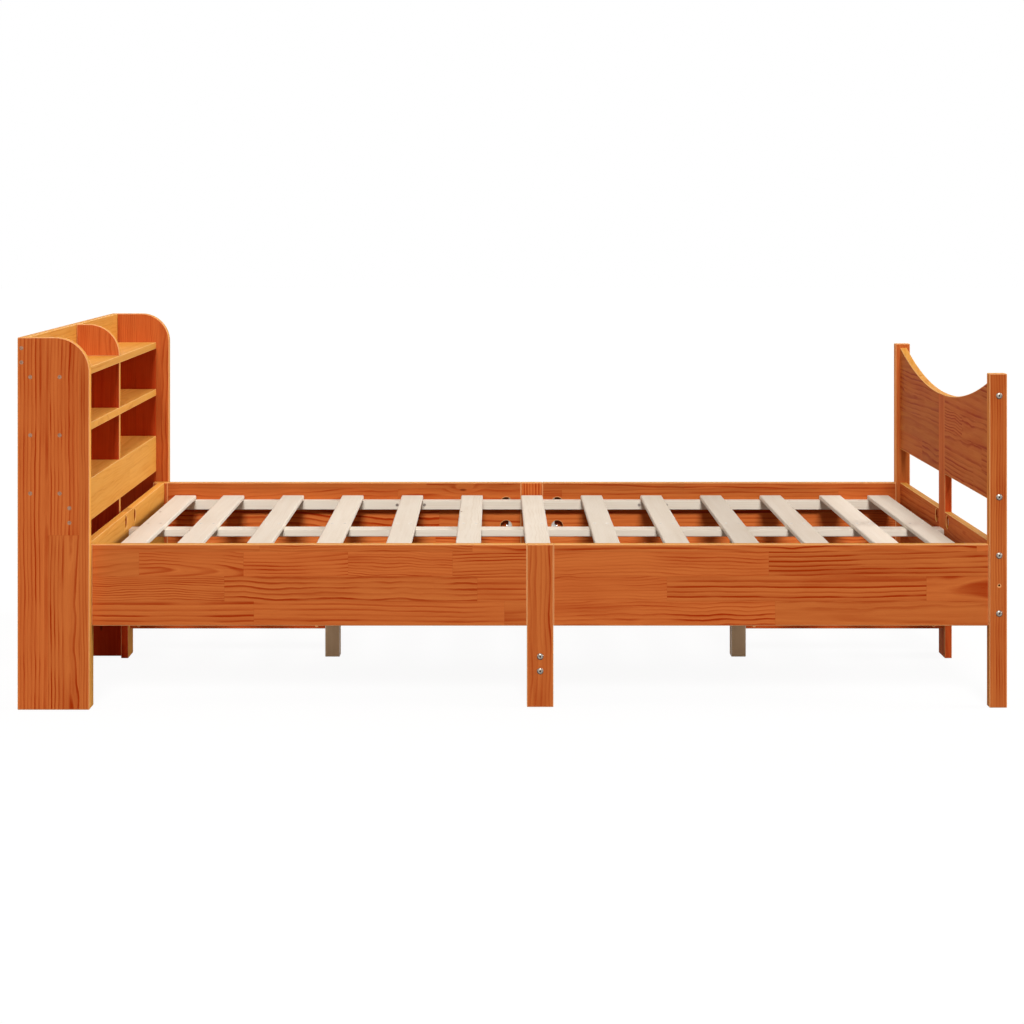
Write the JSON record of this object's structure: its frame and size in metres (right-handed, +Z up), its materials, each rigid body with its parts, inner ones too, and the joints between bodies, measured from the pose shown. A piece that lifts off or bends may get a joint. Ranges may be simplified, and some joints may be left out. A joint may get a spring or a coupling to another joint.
{
  "type": "bed frame with headboard",
  "caption": "Pine bed frame with an open bookcase headboard, a curved footboard, side rails with middle legs and a slatted base.",
  "frame": {"origin": "on the floor, under the middle of the whole frame's outline", "axes": "+X from the headboard to the footboard, +Y from the left side to the right side as seen from the foot, +Z up"},
  "size_m": [2.2344, 1.315, 0.838],
  "materials": {
    "waxed_pine": "brown wax over solid pine, satin",
    "bare_pine": "planed, no finish",
    "steel": "bright zinc"
  },
  "bodies": {
    "root": {"headboard_side_left": "waxed_pine", "headboard_side_right": "waxed_pine", "headboard_post_left": "waxed_pine", "headboard_post_right": "waxed_pine", "top_shelf": "waxed_pine", "middle_shelf": "waxed_pine", "bottom_shelf": "waxed_pine", "top_divider": "waxed_pine", "upper_divider": "waxed_pine", "lower_divider": "waxed_pine", "centre_support_panel": "waxed_pine", "back_rail": "waxed_pine", "back_panel": "waxed_pine", "headboard_apron": "waxed_pine", "headboard_rail_left": "waxed_pine", "headboard_rail_right": "waxed_pine", "headboard_centre_leg": "waxed_pine", "footboard_post_left": "waxed_pine", "footboard_post_right": "waxed_pine", "footboard_panel_left": "waxed_pine", "footboard_panel_right": "waxed_pine", "footboard_rail_left": "waxed_pine", "footboard_rail_right": "waxed_pine", "footboard_centre_leg": "waxed_pine", "side_rail_left_head": "waxed_pine", "side_rail_left_foot": "waxed_pine", "side_rail_right_head": "waxed_pine", "side_rail_right_foot": "waxed_pine", "middle_leg_left": "waxed_pine", "middle_leg_right": "waxed_pine", "slat_ledger_left": "bare_pine", "slat_ledger_right": "bare_pine", "centre_beam": "bare_pine", "support_leg_head": "bare_pine", "support_leg_middle": "bare_pine", "support_leg_foot": "bare_pine", "cross_rail": "waxed_pine", "stretcher_head": "waxed_pine", "stretcher_foot": "waxed_pine", "slat_01": "bare_pine", "slat_02": "bare_pine", "slat_03": "bare_pine", "slat_04": "bare_pine", "slat_05": "bare_pine", "slat_06": "bare_pine", "slat_07": "bare_pine", "slat_08": "bare_pine", "slat_09": "bare_pine", "slat_10": "bare_pine", "slat_11": "bare_pine", "slat_12": "bare_pine", "slat_13": "bare_pine", "bookcase_screws": "steel", "ledger_screws": "steel", "slat_screws": "steel", "frame_bolts": "steel", "threaded_inserts": "steel", "tie_rods": "steel", "half_moon_washers": "steel", "rod_nuts": "steel"}
  },
  "joints": []
}
